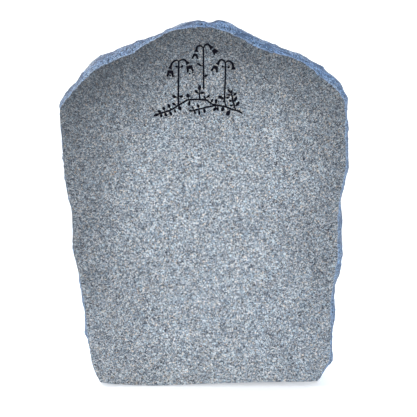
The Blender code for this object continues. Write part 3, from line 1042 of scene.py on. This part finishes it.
@dataclass(frozen=True)
class Noise:
    """A noise, and the values between which it is eased.

    Attributes:
        per_metre: How many of its features lie side by side in a metre.
        detail: How many finer layers it has.
        roughness: How strong the finer layers are.
        start: The noise's value where the easing starts.
        end: The value where it ends.
        values: What it is eased from and to.
    """

    per_metre: float
    detail: float = 2.0
    roughness: float = 0.5
    start: float = 0.0
    end: float = 1.0
    values: Span = (0.0, 1.0)

    def node(self, wiring: Wiring, place: Socket) -> bpy.types.Node:
        """Adds the noise.

        Args:
            wiring: The wiring that it is added to.
            place: The place in the stone.

        Returns:
            The noise's node.
        """
        layers = {"Detail": self.detail, "Roughness": self.roughness}
        return wiring.node("ShaderNodeTexNoise", {"Vector": place, "Scale": self.per_metre, **layers})

    def plain(self, wiring: Wiring, place: Socket) -> Socket:
        """Adds the noise and returns its value."""
        return self.node(wiring, place).outputs["Fac"]

    def sway(self, wiring: Wiring, place: Socket) -> Socket:
        """Adds the noise and returns its value less a half, which goes both ways."""
        return wiring.less(self.plain(wiring, place), 0.5)

    def eased(self, wiring: Wiring, place: Socket) -> Socket:
        """Adds the noise and its easing and returns the result."""
        return wiring.ease(self.plain(wiring, place), self.start, self.end, *self.values)


@dataclass(frozen=True)
class Minerals:
    """The granite's crystals: their colours, their shares and their size.

    Attributes:
        mica: Black mica.
        quartz: Smoky grey quartz.
        grey: Grey feldspar.
        pale: Pale feldspar.
        rust: The rare stained crystal.
        shares: Where along the crystals' kinds each mineral starts and ends.
        warm: The tint of the warmest crystals.
        cool: The tint of the coolest ones.
        untinted: Between which shares a crystal has no tint.
        per_metre: How many crystals lie side by side in a metre.
        finer: How many times smaller the small crystals are.
        large: The share of the stone that is large crystals.
        bend: The noise that bends the crystals' edges.
        bent_by: How far it bends them.
        clusters: The noise that crowds small flakes of mica, eased to their share.
        flake_dark: How dark such a flake is.
        clouds: The noise that makes the stone paler or darker in clouds.
        within: The noise inside each crystal.
        within_values: Between which of its values a crystal grows paler, and the tone at each.
        steps: How much of the relief is steps from crystal to crystal.
        grain: How much is the noise inside each crystal.
        pits: How much is pits at the small flakes of mica.
        gloss: Between which of the crystals' kinds the roughness changes, and the change at each.
    """

    mica: Colour = (0.034, 0.040, 0.056)
    quartz: Colour = (0.158, 0.182, 0.212)
    grey: Colour = (0.358, 0.399, 0.442)
    pale: Colour = (0.745, 0.765, 0.768)
    rust: Colour = (0.46, 0.36, 0.27)
    shares: tuple[Span, ...] = ((0.0, 0.08), (0.14, 0.35), (0.43, 0.68), (0.78, 0.985), (0.99, 1.0))
    warm: Colour = (1.21, 1.0, 0.80)
    cool: Colour = (0.83, 1.0, 1.10)
    untinted: Span = (0.45, 0.8)
    per_metre: float = 400.0
    finer: float = 1.9
    large: float = 0.62
    bend: Noise = Noise(480.0, 3.0, 0.6)
    bent_by: float = 0.0028
    clusters: Noise = Noise(95.0, start=0.40, end=0.66, values=(0.03, 0.22))
    flake_dark: float = 0.8
    clouds: Noise = Noise(30.0, 3.0, start=0.3, end=0.7, values=(0.90, 1.10))
    within: Noise = Noise(1300.0, 2.0, 0.6)
    within_values: tuple[float, ...] = (0.25, 0.75, 0.84, 1.16)
    steps: float = 0.6
    grain: float = 0.5
    pits: float = 0.35
    gloss: tuple[float, ...] = (0.12, 0.40, -0.22, 0.0)

    def group(self) -> bpy.types.NodeTree:
        """Makes the granite's shader group.

        Returns:
            The group, which gives the crystals' colour, roughness and height.
        """
        tree = bpy.data.node_groups.new("granite crystals", "ShaderNodeTree")
        for name, start in (("Paleness", 1.0), ("Relief", 0.0003), ("Roughness", 0.8)):
            socket = tree.interface.new_socket(name, in_out="INPUT", socket_type="NodeSocketFloat")
            socket.default_value = start
        for name, kind in (("Color", "Color"), ("Roughness", "Float"), ("Height", "Float")):
            tree.interface.new_socket(name, in_out="OUTPUT", socket_type="NodeSocket" + kind)
        wiring = Wiring(tree)
        given = wiring.node("NodeGroupInput").outputs
        place = wiring.place()
        kind, tint, second, third = self.crystals(wiring, place)
        stops = zip(self.shares, (self.mica, self.quartz, self.grey, self.pale, self.rust))
        colour = wiring.ramp(kind, tuple((end, mineral) for ends, mineral in stops for end in ends))
        plain = (1.0, 1.0, 1.0)
        tints = ((0.0, self.cool), (self.untinted[0], plain), (self.untinted[1], plain), (1.0, self.warm))
        colour = wiring.mix(1.0, colour, wiring.ramp(tint, tints), "MULTIPLY")
        dark = wiring.math("LESS_THAN", second, self.clusters.eased(wiring, place))
        colour = wiring.mix(wiring.times(dark, self.flake_dark), colour, self.mica)
        within = self.within.plain(wiring, place)
        tone = wiring.times(self.clouds.eased(wiring, place), wiring.ease(within, *self.within_values))
        tone = wiring.times(tone, given["Paleness"])
        grey = wiring.node("ShaderNodeCombineColor", {0: tone, 1: tone, 2: tone}).outputs[0]
        colour = wiring.mix(1.0, colour, grey, "MULTIPLY")
        height = wiring.plus(wiring.times(third, self.steps), wiring.times(within, self.grain))
        height = wiring.less(height, wiring.times(dark, self.pits))
        height = wiring.times(height, given["Relief"])
        rough = wiring.math("ADD", given["Roughness"], wiring.ease(kind, *self.gloss), clamp=True)
        wiring.node("NodeGroupOutput", {"Color": colour, "Roughness": rough, "Height": height})
        return tree

    def crystals(self, wiring: Wiring, place: Socket) -> tuple[Socket, Socket, Socket, Socket]:
        """Lays out large and small crystals.

        Args:
            wiring: The group's wiring.
            place: The place in the stone.

        Returns:
            Four numbers from 0 to 1: the crystal's kind, the large crystal's tint, and two of the
            small crystal's own.
        """
        shift = wiring.vector("SUBTRACT", self.bend.node(wiring, place).outputs["Color"], (0.5, 0.5, 0.5))
        bent = wiring.vector("ADD", place, wiring.vector("SCALE", shift, self.bent_by))
        numbers = []
        for scale in (self.per_metre, self.finer * self.per_metre):
            cells = wiring.node("ShaderNodeTexVoronoi", {"Vector": bent, "Scale": scale})
            numbers.append(wiring.node("ShaderNodeSeparateColor", {0: cells.outputs["Color"]}).outputs)
        (large_kind, choice, tint), (small_kind, second, third) = numbers
        choose = wiring.math("GREATER_THAN", choice, self.large)
        kind = wiring.node("ShaderNodeMix", {"Factor": choose, 2: large_kind, 3: small_kind}).outputs[0]
        return kind, tint, second, third


@dataclass(frozen=True)
class StoneFinish:
    """What every finish of the stone has, each with its own values.

    Attributes:
        name: Its name.
        paleness: How pale its crystals are.
        relief: How far they stand up.
        roughness: How rough they are.
        specular: How strongly it mirrors.
    """

    name: str
    paleness: float
    relief: float
    roughness: float
    specular: float = 0.4

    def start(self, group: bpy.types.NodeTree) -> tuple[bpy.types.Material, Wiring, bpy.types.Node]:
        """Makes the material and places the granite's group in it.

        Args:
            group: The granite's shader group.

        Returns:
            The material, its wiring and the group's node.
        """
        material = bpy.data.materials.new(self.name)
        material.use_nodes = True
        material.node_tree.nodes["Principled BSDF"].inputs["Specular IOR Level"].default_value = self.specular
        wiring = Wiring(material.node_tree)
        values = {"Paleness": self.paleness, "Relief": self.relief, "Roughness": self.roughness}
        return material, wiring, wiring.node("ShaderNodeGroup", values, node_tree=group)

    @staticmethod
    def end(wiring: Wiring, colour: Socket, roughness: Socket, height: Socket) -> None:
        """Joins the finish to the material's shader.

        Args:
            wiring: The material's wiring.
            colour: The stone's colour.
            roughness: Its roughness.
            height: Its relief, in metres.
        """
        shader = wiring.tree.nodes["Principled BSDF"]
        bump = wiring.node("ShaderNodeBump", {"Strength": 1.0, "Distance": 1.0, "Height": height})
        wiring.tree.links.new(colour, shader.inputs["Base Color"])
        wiring.tree.links.new(roughness, shader.inputs["Roughness"])
        wiring.tree.links.new(bump.outputs["Normal"], shader.inputs["Normal"])


@dataclass(frozen=True)
class DressedStone(StoneFinish):
    """The dressed face: fine-hammered granite, with painted shade towards the top, along the arris and on the
    left.

    Attributes:
        top: The slab's height.
        painted_shade_colour: The colour of the painted shade.
        drift: The noise that makes the painted shade's bounds uneven.
        drift_by: How far it moves them.
        reach: How far in from the arris the painted shade reaches.
        at_arris: How dark it is there.
        foot: Between which shares of the height it grows from its least.
        at_foot: Its least, as a share.
        crown: Above which share of the height the whole face darkens.
        at_top: How dark it is at the top.
        left: From where to where along X the left side's painted shade fades.
        left_reach: What share of its distance to the arris counts for a place on the left.
        left_dark: How many times darker the left is.
    """

    name: str = "dressed granite"
    paleness: float = 0.875
    relief: float = 0.00022
    roughness: float = 0.82
    top: float = 1.0
    painted_shade_colour: Colour = (0.010, 0.014, 0.022)
    drift: Noise = Noise(9.0, 4.0, 0.6)
    drift_by: float = 0.16
    reach: float = 0.17
    at_arris: float = 0.36
    foot: Span = (0.06, 0.45)
    at_foot: float = 0.5
    crown: float = 0.52
    at_top: float = 0.32
    left: Span = (-0.33, 0.05)
    left_reach: float = 0.55
    left_dark: float = 1.3

    def painted_shade(self, wiring: Wiring) -> Socket:
        """Gives how far painted shade darkens the face, from 0 to 1.

        Most lies along the arris, towards the top and on the left, where it also reaches further in.

        Args:
            wiring: The material's wiring.

        Returns:
            The share of painted shade.
        """
        place = wiring.place()
        x, _, z = wiring.node("ShaderNodeSeparateXYZ", {0: place}).outputs
        drift = wiring.times(self.drift.sway(wiring, place), self.drift_by)
        inset = wiring.times(wiring.attribute("inset"), wiring.ease(x, *self.left, self.left_reach, 1.0))
        side = wiring.ease(wiring.plus(inset, drift), 0.0, self.reach, self.at_arris, 0.0)
        low, high = (share * self.top for share in self.foot)
        side = wiring.times(side, wiring.ease(z, low, high, self.at_foot, 1.0))
        upper = wiring.ease(wiring.plus(z, drift), self.crown * self.top, self.top, 0.0, self.at_top)
        left = wiring.ease(x, *self.left, self.left_dark, 1.0)
        return wiring.math("MULTIPLY", wiring.plus(upper, side), left, clamp=True)

    def material(self, group: bpy.types.NodeTree) -> bpy.types.Material:
        """Makes the material.

        Args:
            group: The granite's shader group.

        Returns:
            The material.
        """
        material, wiring, crystals = self.start(group)
        # Painted shade: the face darkens towards the top, along the arris and on the left, in place of light
        # falling off.
        colour = wiring.mix(self.painted_shade(wiring), crystals.outputs["Color"], self.painted_shade_colour)
        self.end(wiring, colour, crystals.outputs["Roughness"], crystals.outputs["Height"])
        return material


@dataclass(frozen=True)
class PitchedStone(StoneFinish):
    """The pitched and split stone: broken crystals, with painted blue skylight and painted ledge shadows near
    the arris.

    Attributes:
        face_y: The dressed face's place along Y.
        coarse: The noise of the coarse breaks.
        coarse_relief: How high they stand.
        hackle: The noise of the larger ones.
        hackle_relief: How high they stand.
        drift: The noise that makes the strips' bounds uneven.
        painted_skylight: The blue tint of the painted skylight near the arris.
        skylit: How far behind the face the painted skylight starts to fade and has gone.
        skylight_drift: How far its bound moves.
        crush: The pale dust of the crushed crystals.
        crushed: How far behind the face the dust has gone.
        crush_share: How much dust there is at the arris.
        ledge_shadow: The colour of the painted shadows of small ledges.
        ledge_shadowed: How far behind the face the painted shadows start and are full.
        ledge_shadow_drift: How far their bound moves.
        ledge_shadow_share: How dark they are.
    """

    name: str = "pitched granite"
    paleness: float = 0.90
    relief: float = 0.0004
    roughness: float = 0.74
    face_y: float = 0.0
    coarse: Noise = Noise(210.0, 4.0, 0.62)
    coarse_relief: float = 0.0015
    hackle: Noise = Noise(62.0, 5.0, 0.6)
    hackle_relief: float = 0.0030
    drift: Noise = Noise(32.0, 6.0, 0.72)
    painted_skylight: Colour = (0.46, 0.60, 0.80)
    skylit: Span = (0.009, 0.069)
    skylight_drift: float = 0.11
    crush: Colour = (0.480, 0.580, 0.700)
    crushed: float = 0.0045
    crush_share: float = 0.30
    ledge_shadow: Colour = (0.045, 0.062, 0.098)
    ledge_shadowed: Span = (0.018, 0.032)
    ledge_shadow_drift: float = 0.20
    ledge_shadow_share: float = 0.70

    def material(self, group: bpy.types.NodeTree) -> bpy.types.Material:
        """Makes the material.

        Args:
            group: The granite's shader group.

        Returns:
            The material.
        """
        material, wiring, crystals = self.start(group)
        place = wiring.place()
        y = wiring.node("ShaderNodeSeparateXYZ", {0: place}).outputs[1]
        behind = wiring.less(y, self.face_y)
        coarse = wiring.times(self.coarse.plain(wiring, place), self.coarse_relief)
        hackle = wiring.times(self.hackle.plain(wiring, place), self.hackle_relief)
        height = wiring.plus(wiring.plus(crystals.outputs["Height"], coarse), hackle)
        drift = self.drift.sway(wiring, place)
        # Painted skylight: the edge near the arris is tinted darker and blue, standing in for blue light from
        # above.
        nearer = wiring.less(behind, wiring.times(drift, self.skylight_drift))
        near = wiring.ease(nearer, *self.skylit, 1.0, 0.0)
        colour = wiring.mix(near, crystals.outputs["Color"], self.painted_skylight, "MULTIPLY")
        crushed = wiring.ease(behind, 0.0, self.crushed, self.crush_share, 0.0)
        colour = wiring.mix(crushed, colour, self.crush)
        # Painted ledge shadows: dark strips a little behind the arris, where small ledges would shade the
        # edge.
        further = wiring.plus(behind, wiring.times(drift, self.ledge_shadow_drift))
        ledge_shadow = wiring.times(wiring.ease(further, *self.ledge_shadowed, 0.0, self.ledge_shadow_share), near)
        colour = wiring.mix(ledge_shadow, colour, self.ledge_shadow)
        self.end(wiring, colour, crystals.outputs["Roughness"], height)
        return material


@dataclass(frozen=True)
class BlackPaint(StoneFinish):
    """The grooves' black paint, worn through to the stone in places at the rim.

    Attributes:
        wear: The noise of the wear.
        worn: Between which values of the wear the stone shows.
        film: The noise in the paint's own colour.
        colours: The paint's colours, darkest first, each with its place in that noise.
        film_roughness: How rough the paint is.
        film_relief: How much of the crystals' relief shows through it.
    """

    name: str = "black paint"
    paleness: float = 0.8
    relief: float = 0.00022
    roughness: float = 0.82
    specular: float = 0.06
    wear: Noise = Noise(900.0, 3.0, 0.6)
    worn: Span = (0.68, 0.80)
    film: Noise = Noise(420.0)
    colours: tuple = ((0.3, (0.003, 0.003, 0.007)), (0.7, (0.006, 0.006, 0.013)))
    film_roughness: float = 0.62
    film_relief: float = 0.6

    def material(self, group: bpy.types.NodeTree) -> bpy.types.Material:
        """Makes the material.

        Args:
            group: The granite's shader group.

        Returns:
            The material.
        """
        material, wiring, crystals = self.start(group)
        place = wiring.place()
        wear = wiring.less(self.wear.plain(wiring, place), wiring.attribute("groove"))
        bare = wiring.ease(wear, *self.worn)
        film = wiring.ramp(self.film.plain(wiring, place), self.colours)
        colour = wiring.mix(bare, film, crystals.outputs["Color"])
        rough = wiring.ease(bare, 0.0, 1.0, self.film_roughness, self.roughness)
        self.end(wiring, colour, rough, wiring.times(crystals.outputs["Height"], self.film_relief))
        return material


@dataclass(frozen=True)
class Lamp:
    """A soft square lamp.

    Attributes:
        name: What it does.
        place: Where it stands.
        aim: What it points at.
        side: How wide it is.
        power: Its power in watts.
        colour: Its colour.
    """

    name: str
    place: tuple[float, float, float]
    aim: tuple[float, float, float]
    side: float
    power: float
    colour: Colour

    def light(self) -> bpy.types.Object:
        """Makes the lamp.

        Returns:
            The lamp, linked to the scene.
        """
        data = bpy.data.lights.new(self.name, "AREA")
        data.shape = "SQUARE"
        data.size = self.side
        data.energy = self.power
        data.color = self.colour
        made = bpy.data.objects.new(self.name, data)
        made.location = self.place
        way = Vector(self.aim) - Vector(self.place)
        made.rotation_euler = way.to_track_quat("-Z", "Y").to_euler()
        made.visible_camera = False
        bpy.context.scene.collection.objects.link(made)
        return made


@dataclass(frozen=True)
class Studio:
    """The pale bowl that the stone stands in, the lamps, the open sky above and the camera.

    Attributes:
        floor: How far the flat floor reaches.
        bend: The radius by which it turns up into the wall.
        wall: How high the wall stands.
        steps: Steps along the floor, along the bend and round the bowl.
        paper: The bowl's colour.
        glow: How much light the bowl gives off.
        sky: The sky's colour.
        sky_strength: Its strength.
        camera_place: Where the camera stands.
        camera_tilt: How far it looks down, in degrees.
        lens: Its focal length in millimetres.
        sensor: Its sensor's width in millimetres.
        nearest: The nearest thing that it sees.
        lamps: The lamps.
    """

    floor: float = 3.4
    bend: float = 1.6
    wall: float = 3.0
    steps: tuple[int, int, int] = (12, 20, 96)
    paper: Colour = (0.90, 0.90, 0.89)
    glow: float = 0.45
    sky: Colour = (0.95, 0.97, 1.0)
    sky_strength: float = 0.145
    camera_place: tuple[float, float, float] = (0.0066, -2.04526, 0.67650)
    camera_tilt: float = 8.0
    lens: float = 80.0
    sensor: float = 36.0
    nearest: float = 0.05
    lamps: tuple[Lamp, ...] = (
        Lamp("front", (0.25, -2.5, 0.75), (0.0, 0.0, 0.25), 1.5, 7.9, (0.98, 0.985, 0.965)),
        Lamp("sky_right", (1.15, 0.35, 2.15), (0.1, 0.0, 0.7), 1.0, 28.0, (0.26, 0.54, 1.0)),
        Lamp("sky_left", (-1.3, 0.30, 2.0), (-0.1, 0.0, 0.7), 1.1, 34.0, (0.84, 0.87, 1.0)),
    )

    def bowl(self) -> bpy.types.Object:
        """Makes the floor and wall in one.

        Formula: a profile turned about the upright axis: a flat floor, a quarter circle, a wall.

        Returns:
            The bowl, linked to the scene.
        """
        floor_steps, bend_steps, turns = self.steps
        angle = np.linspace(0.0, math.pi / 2, bend_steps)
        flat = np.linspace(0.0, self.floor, floor_steps)[1:-1]
        r = np.concatenate([flat, self.floor + self.bend * np.sin(angle), [self.floor + self.bend]])
        z = np.concatenate([0 * flat, self.bend * (1 - np.cos(angle)), [self.bend + self.wall]])
        turn = np.linspace(0.0, 2 * math.pi, turns, endpoint=False)
        x, y = np.outer(r, np.cos(turn)), np.outer(r, np.sin(turn))
        points = np.stack([x, y, np.broadcast_to(z[:, None], x.shape)], axis=2).reshape(-1, 3)
        index = np.arange(len(points)).reshape(x.shape)
        following = np.roll(index, -1, axis=1)
        quads = np.stack([index[:-1], index[1:], following[1:], following[:-1]], axis=2)
        middle = np.stack([np.full(turns, len(points)), index[0], following[0]], axis=1)
        faces = quads.reshape(-1, 4).tolist() + middle.tolist()
        mesh = bpy.data.meshes.new("studio_bowl")
        mesh.from_pydata(np.vstack([points, np.zeros((1, 3))]).tolist(), [], faces)
        mesh.shade_smooth()
        made = bpy.data.objects.new("studio_bowl", mesh)
        bpy.context.scene.collection.objects.link(made)
        mesh.materials.append(self.matt_white())
        return made

    def matt_white(self) -> bpy.types.Material:
        """Makes the bowl's plain matt white.

        Returns:
            The material.
        """
        material = bpy.data.materials.new("white paper")
        material.use_nodes = True
        shader = material.node_tree.nodes["Principled BSDF"]
        shader.inputs["Base Color"].default_value = (*self.paper, 1.0)
        shader.inputs["Roughness"].default_value = 1.0
        shader.inputs["Specular IOR Level"].default_value = 0.0
        shader.inputs["Emission Color"].default_value = (1.0, 1.0, 1.0, 1.0)
        shader.inputs["Emission Strength"].default_value = self.glow
        return material

    def camera(self) -> bpy.types.Object:
        """Makes the camera.

        Returns:
            The camera, which the scene looks through.
        """
        data = bpy.data.cameras.new("camera")
        data.lens = self.lens
        data.sensor_width = self.sensor
        data.clip_start = self.nearest
        made = bpy.data.objects.new("camera", data)
        made.location = self.camera_place
        made.rotation_euler = (math.radians(90.0 - self.camera_tilt), 0.0, 0.0)
        bpy.context.scene.collection.objects.link(made)
        bpy.context.scene.camera = made
        return made

    def build(self) -> None:
        """Sets up the bowl, the lamps, the sky, the camera and the plain view."""
        self.bowl()
        for lamp in self.lamps:
            lamp.light()
        self.camera()
        world = bpy.data.worlds.new("sky")
        world.use_nodes = True
        backdrop = world.node_tree.nodes["Background"]
        backdrop.inputs["Color"].default_value = (*self.sky, 1.0)
        backdrop.inputs["Strength"].default_value = self.sky_strength
        bpy.context.scene.world = world
        bpy.context.scene.view_settings.view_transform = "Standard"
        bpy.context.scene.view_settings.look = "None"


def main() -> None:
    """Builds the stone and the studio."""
    logging.basicConfig(level=logging.INFO, format="%(message)s")
    low, high = (np.array(corner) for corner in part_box(NODE))
    slab = Slab(low, high)
    stone = slab.build()
    slab.dress(stone, Minerals())
    LOG.info("%s: %d triangles", stone.name, len(stone.data.polygons))
    Studio().build()


if __name__ == "__main__":
    main()
